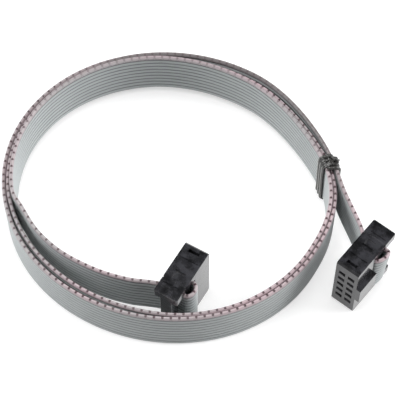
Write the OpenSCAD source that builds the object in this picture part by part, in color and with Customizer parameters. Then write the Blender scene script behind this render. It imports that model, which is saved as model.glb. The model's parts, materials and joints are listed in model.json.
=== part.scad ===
// Ribbon cable: a ten-way ribbed ribbon wound into a loose coil and tied on one side,
// with a two-row socket pressed on at each end. Sizes in millimetres.
// X to the right, Y to the back, Z up, origin on the ground under the middle of the part.

/* [Ribbon] */
// spacing of the ten conductors
pitch = 1.27; // [1.2:0.01:1.34]
// thickness over the ribs
ribbon_thick = 0.9; // [0.7:0.05:0.9]
// thickness of the web between two ribs
web_thick = 0.46; // [0.3:0.02:0.6]

/* [Coil] */
// mean outer radius of the coil
coil_radius = 38.3; // [38:0.05:38.6]
// how far the coil is from round
coil_oval = 1.5; // [1.2:0.05:1.7]
// spacing of two turns that lie on each other
layer_pitch = 1.0; // [0.96:0.01:1.05]
// space where the outermost turn stands off
bulge = 0.6; // [0:0.05:0.7]
// rings of the swept ribbon in one turn
rings_a_turn = 32; // [30:1:36]

/* [Sockets] */
// depth of the socket body from its mating face
body_deep = 6.4; // [6.2:0.05:6.5]
// width of the body across its two rows
body_wide = 6.1; // [5.8:0.05:6.3]
// plastic beyond the first and last conductor
end_margin = 2.3; // [2.1:0.05:2.5]
// spacing of the two rows of slots
row_gap = 2.54; // [2.4:0.02:2.6]
// length of a slot in the mating face
slot_long = 1.5; // [1.4:0.05:1.6]
// height of a slot in the mating face
slot_high = 1.0; // [0.9:0.05:1.2]
// how far the polarising key stands proud
key_proud = 1.1; // [0.6:0.1:1.2]
// width of the bar of the strain relief
bar_wide = 2.8; // [2.2:0.1:3.4]

/* [Tie] */
// width of the flat tie
tie_wide = 1.05; // [0.9:0.05:1.08]
// thickness of the tie at its edges
tie_thick = 0.34; // [0.3:0.02:0.4]
// how far the wire stands up along the middle of the tie
tie_ridge = 0.2; // [0.1:0.02:0.24]

/* [Display] */
// which piece to draw

/* [Hidden] */
conductors = 10;
ribbon_wide = conductors * pitch;
socket_high = ribbon_wide + 2 * end_margin;
mid_height = socket_high / 2;
coil_x = -6.32;
coil_y = 0;
turn_a = 59.7;
turn_b = 230.9;
// the loose ends and sockets keep their distance to the coil when its radius changes
grown = coil_radius - 38.3;
exit_a = [-0.8, -29.2];
exit_b = [45.4, -16.6];
plug_a = [7.1, -21.2] + grown * exit_a / norm(exit_a);
plug_b = [40.85, -26.9] + grown * exit_b / norm(exit_b);
tie_angle = 5;

ribbon_colour = [0.62, 0.63, 0.63];
black_colour = [0.09, 0.09, 0.1];
metal_colour = [0.82, 0.7, 0.4];

function contact_name(end, i) = str("contact_", end, i < 9 ? "0" : "", i + 1);

// The coil's plan, seen from above, about its own middle.

function blend(low, high, x) = let(t = max(0, min(1, (x - low) / (high - low)))) t * t * (3 - 2 * t);

// Turns already laid outside the first one at the wound angle a. Each one steps out at the tie.
function layer(a) = blend(-25, 12, -a) + blend(335, 372, -a) + blend(695, 732, -a);

function outline(a) = coil_radius + coil_oval * cos(2 * (a + 20));

function gap(a) = bulge * max(0, cos(2 * (a - 50)));

// a smooth hump of one round the coil about a place, as wide as given
function hump(a, place, wide) = let(
    off = a - place - 360 * round((a - place) / 360),
    t = max(0, 1 - off * off / (wide * wide))
) t * t;

// the tie draws the coil flat just behind it and lets it swing out in front
function pinch(a) = 0.55 * hump(a, -8, 22) - 0.6 * hump(a, 28, 26);

function wound_radius(a) = let(k = layer(a))
    outline(a) + pinch(a) - ribbon_thick / 2 - (2 - k) * layer_pitch - gap(a) * max(0, min(1, 2 - k));

function wound_lift(a) = lookup(a, [
    [-714, 1.6],
    [-610, 0],
    [-412, 0],
    [-372, 0.6],
    [-338, 0.6],
    [-300, 0],
    [-60, 0],
    [0, 1.2],
    [90, 1.5],
    [186, 1.9]
]);

first_angle = 186;
last_angle = -714;
ring_step = 360 / rings_a_turn;
ring_count = round((first_angle - last_angle) / ring_step);
// rings stand at equal angles in every turn, so that the turns stay parallel
coil_rings = [for (i = [0 : ring_count - 1]) first_angle - i * ring_step];

coil_route = [for (a = coil_rings)
    [wound_radius(a) * cos(a), wound_radius(a) * sin(a), wound_lift(a)]];

// loose ends, [x, y, height of the lower edge]
function kept(list) = [for (p = list) p + grown / norm([p[0], p[1]]) * [p[0], p[1], 0]];

tail_a = kept([
    [-4.6, -28.4, 2.2],
    [-9, -27.7, 2.1],
    [-16, -25.3, 2],
    [-24, -20.8, 2],
    [-29.9, -15.2, 2],
    [-34, -8.6, 1.9]
]);

tail_b = kept([
    [40.25, 0.5, 1.7],
    [41.4, -4, 1.8],
    [43.1, -9, 2],
    [44.6, -13.4, 2.2]
]);

// the fold round the cover, [along the mating axis, across it], from the outside in
fold_radius = 1.9;
fold_out = 1.45;
cover_u = -body_deep;
cover_wide = body_wide - 0.7;
fold_u = cover_u - 0.25 - ribbon_thick / 2 - fold_radius;
fold_v = cover_wide / 2 + 0.2;
cut_v = cover_wide / 2 + 0.2;

function fold(side, lean) = concat(
    [[fold_u - fold_radius, -cut_v * side]],
    [for (i = [0 : 7]) let(t = 180 * i / 7)
        [fold_u - fold_radius * cos(t) - lean * sin(t), side * (fold_v + fold_out * sin(t))]],
    [[fold_u + fold_radius, -cut_v * side]]
);

function placed(p, spot, turn) = [
    spot[0] + p[0] * cos(turn) - p[1] * sin(turn),
    spot[1] + p[0] * sin(turn) + p[1] * cos(turn),
    end_margin
];

fold_a = [for (p = fold(-1, 0)) placed(p, plug_a, turn_a)];
fold_b = [for (p = fold(1, 0.8)) placed(p, plug_b, turn_b)];

function backwards(list) = [for (i = [len(list) - 1 : -1 : 0]) list[i]];

route = concat(backwards(fold_a), tail_a, coil_route, tail_b, fold_b);

// Sweep of an upright flat section along a route.

function flat(p) = [p[0], p[1]];

function unit(v) = v / norm(v);

// the outward offset at a ring keeps the thickness through a bend
function miter(path, i) = let(
    n = len(path),
    before = unit(flat(path[max(i, 1)]) - flat(path[max(i, 1) - 1])),
    after = unit(flat(path[min(i, n - 2) + 1]) - flat(path[min(i, n - 2)])),
    way = unit(before + after)
) [-way[1], way[0]] / (way * before);

function ring(path, i, section) = let(m = miter(path, i))
    [for (q = section) [path[i][0] + m[0] * q[0], path[i][1] + m[1] * q[0], path[i][2] + q[1]]];

module sweep(path, section) {
    n = len(path);
    s = len(section);
    points = [for (i = [0 : n - 1]) each ring(path, i, section)];
    sides = [for (i = [0 : n - 2]) for (j = [0 : s - 1]) let(
        a = i * s + j,
        b = i * s + (j + 1) % s,
        c = a + s,
        d = b + s
    ) each [[a, b, c], [b, d, c]]];
    start = [for (j = [s - 1 : -1 : 0]) j];
    finish = [for (j = [0 : s - 1]) (n - 1) * s + j];
    polyhedron(points, concat(sides, [start], [finish]), convexity = 12);
}

// ribs on both faces, [across the thickness, height], anticlockwise
rib_side = [for (i = [0 : 2 * conductors]) let(
    rim = i == 0 || i == 2 * conductors,
    crown = i % 2 == 1
) [(rim ? 0.24 : crown ? ribbon_thick / 2 : web_thick / 2), i * pitch / 2]];
ribbon_section = concat(rib_side, [for (p = backwards(rib_side)) [-p[0], p[1]]]);

// Sockets, drawn about the middle of the mating face: X out of the face, Y across the rows,
// Z up from the ground. The key is on +Y in both.

cover_back = fold_u - fold_radius + ribbon_thick / 2 + 0.05;
relief_back = cover_back - 4;
ribbon_back = fold_u + fold_radius - ribbon_thick / 2 - 0.04;
ear = end_margin - 0.1;

function conductor_height(i) = socket_high - end_margin - (i + 0.5) * pitch;

function row_height(i) = socket_high - end_margin - (floor(i / 2) * 2 + 1) * pitch;

function column(i) = (i % 2 == 0 ? 1 : -1) * row_gap / 2;

module block(low, high) {
    translate(low)
        cube(high - low);
}

// body with chamfers at the short ends of its mating face
module chamfered_front() {
    c = 0.45;
    w = body_wide / 2;
    rotate([90, 0, 0])
        translate([0, 0, -w])
            linear_extrude(2 * w)
                polygon([
                    [cover_u, 0],
                    [-c, 0],
                    [0, c],
                    [0, socket_high - c],
                    [-c, socket_high],
                    [cover_u, socket_high]
                ]);
}

module key() {
    w = body_wide / 2;
    h = 2.5;
    translate([cover_u, 0, 0])
        rotate([90, 0, 90])
            linear_extrude(-cover_u)
                polygon([
                    [w - 0.1, mid_height - h],
                    [w, mid_height - h],
                    [w + key_proud, mid_height - 2.4],
                    [w + key_proud, mid_height + 2.4],
                    [w, mid_height + h],
                    [w - 0.1, mid_height + h]
                ]);
}

// one cavity: slot in the mating face, room for the two beams, pocket for the fork
module cavity(i) {
    z = row_height(i);
    y = column(i);
    f = conductor_height(i);
    block([-1.1, y - slot_long / 2, z - slot_high / 2], [1, y + slot_long / 2, z + slot_high / 2]);
    block([cover_u + 1.1, y - 0.95, z - 0.55], [-1, y + 0.95, z + 0.55]);
    block([cover_u + 1.1, y - 0.95, min(z, f) - 0.55], [cover_u + 1.6, y + 0.95, max(z, f) + 0.55]);
    block([cover_u - 1, y - 0.2, f - 0.5], [cover_u + 1.2, y + 0.2, f + 0.5]);
}

module socket_body() {
    w = body_wide / 2;
    step = cover_u + 2.4;
    color(black_colour)
        difference() {
            union() {
                chamfered_front();
                key();
            }
            for (i = [0 : conductors - 1]) cavity(i);
            // parting step round the body
            for (side = [-1, 1]) {
                block([step, side * w - 0.12, -1], [step + 0.2, side * w + 0.12, mid_height - 2.7]);
                block([step, side * w - 0.12, mid_height + 2.7], [step + 0.2, side * w + 0.12, socket_high + 1]);
            }
            for (z = [0, socket_high])
                block([step, -w - 1, z - 0.12], [step + 0.2, w + 1, z + 0.12]);
            // slot mark on each end
            for (z = [0, socket_high])
                block([-2.1, -1.3, z - 0.6], [-1.3, 1.3, z + 0.6]);
        }
}

module cover() {
    w = cover_wide / 2;
    e = body_wide / 2;
    color(black_colour)
        difference() {
            block([cover_back, -e, 0], [cover_u, e, socket_high]);
            for (side = [-1, 1]) {
                // narrower where the ribbon turns round it
                block([cover_back - 1, side > 0 ? w : -e - 1, ear],
                    [cover_u + 1, side > 0 ? e + 1 : -w, socket_high - ear]);
                // nick where the strain relief clips on
                block([cover_back - 1, side > 0 ? e - 0.3 : -e - 1, -1],
                    [cover_back + 0.35, side > 0 ? e + 1 : 0.3 - e, socket_high + 1]);
            }
            // the ribbon lies between the body and the cover
            block([ribbon_back, -e - 1, ear], [cover_u + 1, e + 1, socket_high - ear]);
            // square recess in each end
            for (z = [0, socket_high])
                block([fold_u - 0.4, -1, z - 0.3], [fold_u + 1.5, 1, z + 0.3]);
            // grooves that the fork tips run into
            for (i = [0 : conductors - 1])
                block([ribbon_back - 0.6, column(i) - 0.3, conductor_height(i) - 0.5],
                    [ribbon_back + 0.1, column(i) + 0.3, conductor_height(i) + 0.5]);
        }
}

module strain_relief() {
    w = body_wide / 2;
    gap_back = fold_u - fold_radius - ribbon_thick / 2 - 0.06;
    color(black_colour)
        difference() {
            linear_extrude(socket_high)
                polygon([
                    [cover_back, -w],
                    [cover_back, w],
                    [relief_back + 0.35, w],
                    [relief_back, w - 0.4],
                    [relief_back, 0.4 - w],
                    [relief_back + 0.35, -w]
                ]);
            // window for the ribbon on both sides of the bar
            for (side = [-1, 1])
                block([relief_back - 1, side > 0 ? bar_wide / 2 : -w - 1, ear],
                    [cover_back + 1, side > 0 ? w + 1 : -bar_wide / 2, socket_high - ear]);
            // the ribbon passes under the bar
            block([gap_back, -w - 1, ear], [cover_back + 1, w + 1, socket_high - ear]);
            // small edge line on each end
            for (z = [0, socket_high])
                block([cover_back - 1.05, -0.9, z - 0.12], [cover_back - 0.85, 1.4, z + 0.12]);
        }
}

// fork on the wire, base plate, and two beams that grip a pin
module contact(i) {
    plate = cover_u + 1.2;
    z = row_height(i);
    y = column(i);
    f = conductor_height(i);
    color(metal_colour)
        union() {
            block([plate, y - 0.75, min(z, f) - 0.42], [plate + 0.3, y + 0.75, max(z, f) + 0.42]);
            for (side = [-1, 1])
                hull() {
                    block([plate + 0.2, y + side * 0.65 - 0.1, z - 0.4], [plate + 0.3, y + side * 0.65 + 0.1, z + 0.4]);
                    block([-1.4, y + side * 0.42 - 0.1, z - 0.3], [-1.3, y + side * 0.42 + 0.1, z + 0.3]);
                }
            block([cover_u + 0.1, y - 0.15, f - 0.42], [plate + 0.1, y + 0.15, f + 0.42]);
            for (side = [-1, 1])
                translate([0, y + 0.15, f])
                    rotate([90, 0, 0])
                        linear_extrude(0.3)
                            polygon([
                                [cover_u + 0.2, side * 0.12],
                                [cover_u + 0.2, side * 0.42],
                                [ribbon_back + 0.2, side * 0.4],
                                [ribbon_back - 0.25, side * 0.3],
                                [ribbon_back + 0.2, side * 0.14]
                            ]);
        }
}

module plug(spot, turn) {
    translate([coil_x + spot[0], coil_y + spot[1], 0])
        rotate([0, 0, turn])
            children();
}

// slits that the forks cut on both sides of each wire
module slits() {
    for (i = [0 : conductors - 1]) for (side = [-1, 1]) {
        f = conductor_height(i);
        block([ribbon_back - 0.4, column(i) - 0.17, f + side * 0.27 - 0.16],
            [cover_u + 0.1, column(i) + 0.17, f + side * 0.27 + 0.16]);
    }
}

module ribbon() {
    color(ribbon_colour)
        difference() {
            sweep([for (p = route) p + [coil_x, coil_y, 0]], ribbon_section);
            plug(plug_a, turn_a) slits();
            plug(plug_b, turn_b) slits();
        }
}

// Tie: a flat strip with a wire along its middle, wound three times round the three turns,
// its two ends twisted together and bent down outside. Drawn about the coil's middle at the
// tie's angle: X outwards, Y along the coil, Z up. Each ring is [place, outward side, width].

tie_low = tie_thick + tie_ridge + 0.02;
tie_high = ribbon_wide + 1.8;
tie_lay = tie_thick / 2;
tie_corner = 0.9;
tie_step = 1.12;
tie_top = tie_high + tie_lay;

// inner and outer side of the bundle at a place along it: the outermost turn is leaving
slope_in = (wound_radius(tie_angle + 4) - wound_radius(tie_angle - 4))
    / (2 * wound_radius(tie_angle) * sin(4));
slope_out = -0.156;
tie_in = wound_radius(tie_angle) - ribbon_thick / 2 - 0.3;
tie_out = wound_radius(tie_angle - 720) + ribbon_thick / 2 + 0.3;
tie_mid = (tie_in + tie_out) / 2;

// corners of the wrap, in the order of winding: inner top, inner foot, outer foot, outer top
corner_turns = [90, 180, 270, 0];
corner_share = [0.04, 0.44, 0.53, 0.93];

function corner_spot(c, y) = [
    c < 2
        ? tie_in + slope_in * y - tie_lay + tie_corner
        : tie_out + slope_out * y + tie_lay - tie_corner,
    c == 0 || c == 3 ? tie_top - tie_corner : tie_low - tie_lay + tie_corner
];

tie_wraps = [for (wrap = [0 : 2]) for (c = [0 : 3]) for (k = [0 : 3]) let(
    t = corner_turns[c] + 30 * k,
    y = tie_step * (1.5 - wrap - corner_share[c] - 0.01 * k),
    spot = corner_spot(c, y),
    slope = c < 2 ? slope_in : slope_out
) [
    [spot[0] + tie_corner * cos(t), y, spot[1] + tie_corner * sin(t)],
    [cos(t), -slope * cos(t), sin(t)],
    1
]];

// the line both ends twist about, [along, above the wraps]
twist_line = [[0, 0.86], [0.6, 0.8], [1.1, 0.4], [1.38, -0.2], [1.44, -0.9], [1.4, -1.6]];
twist_way = [cos(-35), sin(-35), 0];
twist_side = [-sin(-35), cos(-35), 0];

function twist_spot(i) = [tie_out - 0.35, 0.6, tie_top] + twist_way * twist_line[i][0]
    + [0, 0, twist_line[i][1]];

function twist_out(i) = let(
    n = len(twist_line),
    along = unit(twist_spot(min(i + 1, n - 1)) - twist_spot(max(i - 1, 0))),
    up = cross(along, twist_side)
) cos(90 + 60 * i) * twist_side + sin(90 + 60 * i) * up;

function twisted(i, sign) = [twist_spot(i) + sign * 0.26 * twist_out(i), sign * twist_out(i), 0.62];

tie_rings = concat(
    [for (i = [len(twist_line) - 1 : -1 : 0]) twisted(i, 1)],
    [
        [[tie_mid + 0.9, 1.15, tie_top + 0.72], [0.4, -0.3, 0.9], 0.8],
        [[tie_mid + 0.1, 1.6, tie_top + 0.2], [0.3, -0.1, 0.95], 1]
    ],
    tie_wraps,
    [
        [[tie_mid + 0.2, -1.68, tie_top], [0, 0, 1], 1],
        [[tie_mid - 0.6, -1.66, tie_top + 0.14], [0.5, 0, 1], 0.95],
        [[tie_mid - 0.95, -1.5, tie_top + 0.56], [1, 0, 0], 0.9],
        [[tie_mid - 0.6, -1.15, tie_top + 0.96], [0.3, 0.2, -1], 0.85],
        [[tie_mid + 0.3, -0.45, tie_top + 0.96], [0, 0, -1], 0.75]
    ],
    [for (i = [0 : len(twist_line) - 1]) twisted(i, -1)]
);

tie_section = [
    [tie_wide / 2, -tie_lay],
    [tie_wide / 2, tie_lay],
    [0.36, tie_lay],
    [0.2, tie_lay + tie_ridge],
    [-0.2, tie_lay + tie_ridge],
    [-0.36, tie_lay],
    [-tie_wide / 2, tie_lay],
    [-tie_wide / 2, -tie_lay]
];

module sweep_rings(rings, section) {
    n = len(rings);
    s = len(section);
    points = [for (i = [0 : n - 1]) let(
        along = unit(rings[min(i + 1, n - 1)][0] - rings[max(i - 1, 0)][0]),
        across = unit(cross(rings[i][1], along)),
        out = cross(along, across)
    ) for (q = section) rings[i][0] + across * q[0] * rings[i][2] + out * q[1]];
    sides = [for (i = [0 : n - 2]) for (j = [0 : s - 1]) let(
        a = i * s + j,
        b = i * s + (j + 1) % s,
        c = a + s,
        d = b + s
    ) each [[a, b, c], [b, d, c]]];
    start = [for (j = [s - 1 : -1 : 0]) j];
    finish = [for (j = [0 : s - 1]) (n - 1) * s + j];
    polyhedron(points, concat(sides, [start], [finish]), convexity = 12);
}

module tie() {
    color(black_colour)
        translate([coil_x, coil_y, 0])
            rotate([0, 0, tie_angle])
                sweep_rings(tie_rings, tie_section);
}

ribbon();
tie();
plug(plug_a, turn_a) socket_body();  // socket_body_a
plug(plug_a, turn_a) cover();  // cover_a
plug(plug_a, turn_a) strain_relief();  // strain_relief_a
plug(plug_b, turn_b) socket_body();  // socket_body_b
plug(plug_b, turn_b) cover();  // cover_b
plug(plug_b, turn_b) strain_relief();  // strain_relief_b
for (i = [0 : conductors - 1])
    plug(plug_a, turn_a) contact(i);
for (i = [0 : conductors - 1])
    plug(plug_b, turn_b) contact(i);
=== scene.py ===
# %% [markdown]
# A ribbon cable, wound up and tied
#
# The object is 0.7 m of flat grey ribbon with ten wires side by side. It is wound two and a half
# times into a loose coil that stands on its edge, a black wire tie holds the three layers together
# on the right, and a black socket is pressed on at each end. This lesson dresses the packed
# construction model: the shapes that read well as they are get a finish, and the ribbon, the
# mouldings and the tie are made again with the soft edges that a lens sees.
#
# Everything is in metres. X goes to the right, Y to the back, Z up, and the part stands on Z = 0.

# %% Load the construction model
import json
import math

import bmesh
import bpy
from mathutils import Matrix, Vector

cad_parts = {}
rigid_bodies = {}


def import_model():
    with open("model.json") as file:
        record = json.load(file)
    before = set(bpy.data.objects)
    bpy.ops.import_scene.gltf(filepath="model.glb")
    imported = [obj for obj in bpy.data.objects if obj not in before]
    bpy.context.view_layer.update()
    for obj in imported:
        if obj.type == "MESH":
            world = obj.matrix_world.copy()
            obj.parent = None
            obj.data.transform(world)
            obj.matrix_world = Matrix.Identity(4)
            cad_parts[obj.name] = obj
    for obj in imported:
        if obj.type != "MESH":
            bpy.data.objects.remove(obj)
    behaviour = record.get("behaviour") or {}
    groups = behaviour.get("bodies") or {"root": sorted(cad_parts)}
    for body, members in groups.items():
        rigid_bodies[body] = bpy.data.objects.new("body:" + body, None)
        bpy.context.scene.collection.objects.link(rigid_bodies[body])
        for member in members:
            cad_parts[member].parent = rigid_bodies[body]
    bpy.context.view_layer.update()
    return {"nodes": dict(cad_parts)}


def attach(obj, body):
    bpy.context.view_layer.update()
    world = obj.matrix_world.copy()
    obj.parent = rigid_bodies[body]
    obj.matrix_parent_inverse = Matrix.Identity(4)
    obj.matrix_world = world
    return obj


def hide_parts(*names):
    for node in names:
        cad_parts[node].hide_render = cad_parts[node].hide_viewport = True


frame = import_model()

# %% [markdown]
# The camera
#
# The photograph was taken from a little over a foot away and from well above, with a long lens:
# the near and the far side of the coil are almost the same size. A camera that looks straight at
# a point on the ground between the two sockets, 59 degrees above the horizon, gives that picture.
# The point and the angle are named here, and the camera's own place follows from them, so that
# either can be changed without losing the aim.

# %% Camera
MM = 0.001
COIL = Vector((-6.32, 0.0, 0.0)) * MM

aim = COIL + Vector((7.6, 1.7, 0.0)) * MM
rise = math.radians(59)
distance = 0.367

lens = bpy.data.cameras.new("camera")
lens.sensor_width = 36
lens.lens = 135
lens.clip_start = 0.01
camera = bpy.data.objects.new("camera", lens)
camera.location = aim + distance * Vector((0, -math.cos(rise), math.sin(rise)))
camera.rotation_euler = (math.pi / 2 - rise, 0, 0)
bpy.context.scene.collection.objects.link(camera)
bpy.context.scene.camera = camera
print("camera at", [round(c, 4) for c in camera.location])

# %% [markdown]
# The route of the ribbon
#
# A flat ribbon that stands on its edge can only bend sideways, so its shape is a line on the
# ground and a height above it. The coil's line is a formula: an oval whose radius steps out by one
# layer each time round. It could be drawn as a curve by hand, but a formula keeps the layers a
# hair's breadth apart everywhere. The two loose ends are a few points each, joined by a smooth
# curve, and each end folds once round the cover of its socket.

# %% Coil
PITCH = 1.27
THICK = 0.9
WEB = 0.46
LAYER = 1.0
COIL_RADIUS = 38.3
COIL_STEP = 1.5
FIRST_ANGLE, LAST_ANGLE = 186, -714
OVAL, OVAL_TURN = 1.5, 20
PINCHES = [(0.55, -8, 22), (-0.6, 28, 26)]
STAND_OFF, STAND_OFF_AT = 0.6, 50


def eased(low, high, x):
    t = max(0.0, min(1.0, (x - low) / (high - low)))
    return t * t * (3 - 2 * t)


def cosd(angle):
    return math.cos(math.radians(angle))


def sind(angle):
    return math.sin(math.radians(angle))


def hump(a, place, wide):
    """A smooth hump of one round the coil about a place, as wide as given."""
    off = a - place - 360 * round((a - place) / 360)
    return max(0.0, 1 - off * off / (wide * wide)) ** 2


def wound_radius(a):
    """Distance from the coil's middle to the ribbon's line at the wound angle a."""
    layers = eased(-25, 12, -a) + eased(335, 372, -a) + eased(695, 732, -a)
    oval = COIL_RADIUS + OVAL * cosd(2 * (a + OVAL_TURN))
    pinch = sum(size * hump(a, place, wide) for size, place, wide in PINCHES)
    stand_off = STAND_OFF * max(0.0, cosd(2 * (a - STAND_OFF_AT))) * max(0.0, min(1.0, 2 - layers))
    return oval + pinch - THICK / 2 - (2 - layers) * LAYER - stand_off


LIFTS = [
    (LAST_ANGLE, 1.6), (-610, 0), (-412, 0), (-372, 0.6), (-338, 0.6),
    (-300, 0), (-60, 0), (0, 1.2), (90, 1.5), (FIRST_ANGLE, 1.9),
]


def wound_lift(a):
    """Height of the ribbon's lower edge at the wound angle a."""
    for (a0, z0), (a1, z1) in zip(LIFTS, LIFTS[1:]):
        if a <= a1:
            return z0 + (z1 - z0) * max(0.0, (a - a0) / (a1 - a0))
    return LIFTS[-1][1]


def coil_point(a):
    r = wound_radius(a)
    return Vector((r * cosd(a), r * sind(a), wound_lift(a)))


coil_count = round((FIRST_ANGLE - LAST_ANGLE) / COIL_STEP) + 1
coil = [coil_point(FIRST_ANGLE - COIL_STEP * i) for i in range(coil_count)]
print("coil:", len(coil), "places, last", [round(c, 2) for c in coil[-1]])

# %% [markdown]
# Loose ends and folds
#
# From the coil the ribbon's ends swing to their sockets. Inside each socket the ribbon lies on the
# forks, leaves on one side, turns round the cover and comes back under the bar of the strain
# relief. That turn has a radius of only two millimetres, so it gets many short steps, where the
# long swing needs few.

# %% Loose ends
TAIL_A = [
    (-4.6, -28.4, 2.2), (-9, -27.7, 2.1), (-16, -25.3, 2),
    (-24, -20.8, 2), (-29.9, -15.2, 2), (-34, -8.6, 1.9),
]
TAIL_B = [(40.25, 0.5, 1.7), (41.4, -4, 1.8), (43.1, -9, 2), (44.6, -13.4, 2.2)]

PLUG_A, TURN_A = Vector((7.1, -21.2, 0)), 59.7
PLUG_B, TURN_B = Vector((40.85, -26.9, 0)), 230.9
MARGIN = 2.3
FOLD_RADIUS = 1.9
FOLD_U = -9.0
FOLD_V = 2.9
FOLD_OUT = 1.45
FOLD_LEAN = 0.8
FOLD_STEPS = 24


def placed(u, v, spot, turn):
    """A place on a socket's plan, turned and moved with the socket, where the ribbon's edge is."""
    x, y = u * cosd(turn) - v * sind(turn), u * sind(turn) + v * cosd(turn)
    return spot + Vector((x, y, MARGIN))


def fold(side, lean, spot, turn):
    """The ribbon in a socket, from where it enters to its cut end."""
    outer, inner = FOLD_U - FOLD_RADIUS, FOLD_U + FOLD_RADIUS
    line = [(outer, -FOLD_V * side), (outer, 0)]
    for i in range(FOLD_STEPS + 1):
        t = 180 * i / FOLD_STEPS
        u = FOLD_U - FOLD_RADIUS * cosd(t) - lean * sind(t)
        line.append((u, side * (FOLD_V + FOLD_OUT * sind(t))))
    line += [(inner, 0), (inner, -FOLD_V * side)]
    return [placed(u, v, spot, turn) for u, v in line]


def smooth(points):
    """A curve through all points but the first and the last, with places about 1 mm apart."""
    line = []
    for i in range(1, len(points) - 2):
        p0, p1, p2, p3 = points[i - 1 : i + 3]
        square, cube = 2 * p0 - 5 * p1 + 4 * p2 - p3, 3 * p1 - p0 - 3 * p2 + p3
        count = max(1, round((p2 - p1).length))
        for k in range(count):
            t = k / count
            line.append(0.5 * (2 * p1 + (p2 - p0) * t + square * t ** 2 + cube * t ** 3))
    line.append(points[-2])
    return line


fold_a = fold(-1, 0, PLUG_A, TURN_A)[::-1]
fold_b = fold(1, FOLD_LEAN, PLUG_B, TURN_B)
swing_a = smooth(fold_a[-2:] + [Vector(p) for p in TAIL_A] + [coil[0], coil[8]])
swing_b = smooth([coil[-9], coil[-1]] + [Vector(p) for p in TAIL_B] + fold_b[:2])
route = fold_a[:-1] + swing_a[:-1] + coil[:-1] + swing_b[:-1] + fold_b
route = [COIL + p * MM for p in route]
lengths = [0.0]
for p, q in zip(route, route[1:]):
    lengths.append(lengths[-1] + (q - p).length)
print("route:", len(route), "places,", round(lengths[-1], 4), "m")

# %% [markdown]
# The ribbon's own shape
#
# Cut across, the ribbon is ten round wires in one skin, so both faces are a row of ribs with a
# thin web between them. A plane with a bump map would look right from the front but flat along the
# edge and at the folds, where the ribs show as steps. So the cut is drawn as a closed outline:
# eight places to a wire, round crowns, and a thin web between two wires.

# %% Outline of the ribbon
WIRES = 10
WIDE = WIRES * PITCH
FINE = 8
ROUNDNESS = 0.75
RIM = [(0.1, 0.0), (0.2, 0.05)]


def rib_profile():
    """Half of the outline, from the lower edge to the upper: offset from the middle, height."""
    side = []
    for i in range(1, WIRES * FINE):
        z = i * PITCH / FINE
        crown = 0.5 - 0.5 * math.cos(2 * math.pi * z / PITCH)
        side.append((WEB / 2 + (THICK - WEB) / 2 * crown ** ROUNDNESS, z))
    return RIM + side + [(x, WIDE - z) for x, z in RIM[::-1]]


half = rib_profile()
outline = half + [(-x, z) for x, z in half[::-1]]
print("outline of the ribbon:", len(outline), "points,", round(WIDE, 1), "mm high")

# %% [markdown]
# Sweeping the outline
#
# The outline is swept along the route, always upright. A curve object with a bevel would tilt the
# flat ribbon in the folds, so rings of points are made in code, and a mitre widens each ring where
# the route turns. Three pieces meet end to end under the tie, one for each time round, and their
# UV map carries the length along the ribbon and the height across it.

# %% Sweep
TIE_ANGLE = 5
SAG, SAG_REACH = 0.8, 1.15


def only(obj):
    """Selects one object and nothing else."""
    bpy.ops.object.select_all(action="DESELECT")
    obj.select_set(True)
    bpy.context.view_layer.objects.active = obj


def skin(name, rings, across, along, sharp):
    """A closed tube through rings of points, with a UV map of length along and share across."""
    mesh = bpy.data.meshes.new(name)
    count = len(rings[0])
    faces = []
    for i in range(len(rings) - 1):
        for j in range(count):
            k = (j + 1) % count
            faces.append((i * count + j, (i + 1) * count + j, (i + 1) * count + k, i * count + k))
    faces.append(tuple(range(count)))
    faces.append(tuple(range(len(rings) * count - 1, (len(rings) - 1) * count - 1, -1)))
    mesh.from_pydata([p for ring in rings for p in ring], [], faces)
    layer = mesh.uv_layers.new(name="UVMap")
    for loop in mesh.loops:
        ring, place = divmod(loop.vertex_index, count)
        layer.data[loop.index].uv = (along[ring], across[place])
    obj = bpy.data.objects.new(name, mesh)
    bpy.context.scene.collection.objects.link(obj)
    only(obj)
    bpy.ops.object.mode_set(mode="EDIT")
    bpy.ops.mesh.select_all(action="SELECT")
    bpy.ops.mesh.normals_make_consistent(inside=False)
    bpy.ops.object.mode_set(mode="OBJECT")
    bpy.ops.object.shade_smooth_by_angle(angle=math.radians(sharp))
    return obj


def upright(path, start, end, sag):
    """Rings of the ribbon's outline along the path; sag pulls the lower edge aside at a place."""
    rings = []
    for i in range(start, end + 1):
        before = (path[i] - path[max(i - 1, 0)]).xy
        after = (path[min(i + 1, len(path) - 1)] - path[i]).xy
        before = before if before.length > 0 else after
        after = after if after.length > 0 else before
        way = (before.normalized() + after.normalized()).normalized()
        side = Vector((-way.y, way.x, 0)) / way.dot(before.normalized())
        pull = sag.get(i, Vector())
        shifts = (side * x + Vector((0, 0, z)) + pull * (SAG_REACH - z / WIDE) for x, z in outline)
        rings.append([path[i] + shift * MM for shift in shifts])
    return rings


first_coil = len(fold_a) - 1 + len(swing_a) - 1
pass_1 = first_coil + round((FIRST_ANGLE - TIE_ANGLE) / COIL_STEP)
pass_2 = first_coil + round((FIRST_ANGLE - TIE_ANGLE + 360) / COIL_STEP)
stretches = {
    "ribbon_inner": (0, pass_1),
    "ribbon_middle": (pass_1, pass_2),
    "ribbon_outer": (pass_2, len(route) - 1),
}
heights = [z / WIDE for x, z in outline]
inward = Vector((sind(TURN_B), -cosd(TURN_B), 0)) * SAG
fold_start = len(route) - len(fold_b) + 2
sag_b = {fold_start + i: inward * sind(180 * i / FOLD_STEPS) for i in range(FOLD_STEPS + 1)}
ribbon = {}
for name, (start, end) in stretches.items():
    rings = upright(route, start, end, sag_b)
    ribbon[name] = skin(name, rings, heights, lengths[start : end + 1], 50)
    print(name, len(rings), "rings,", round(lengths[end] - lengths[start], 3), "m")

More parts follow.
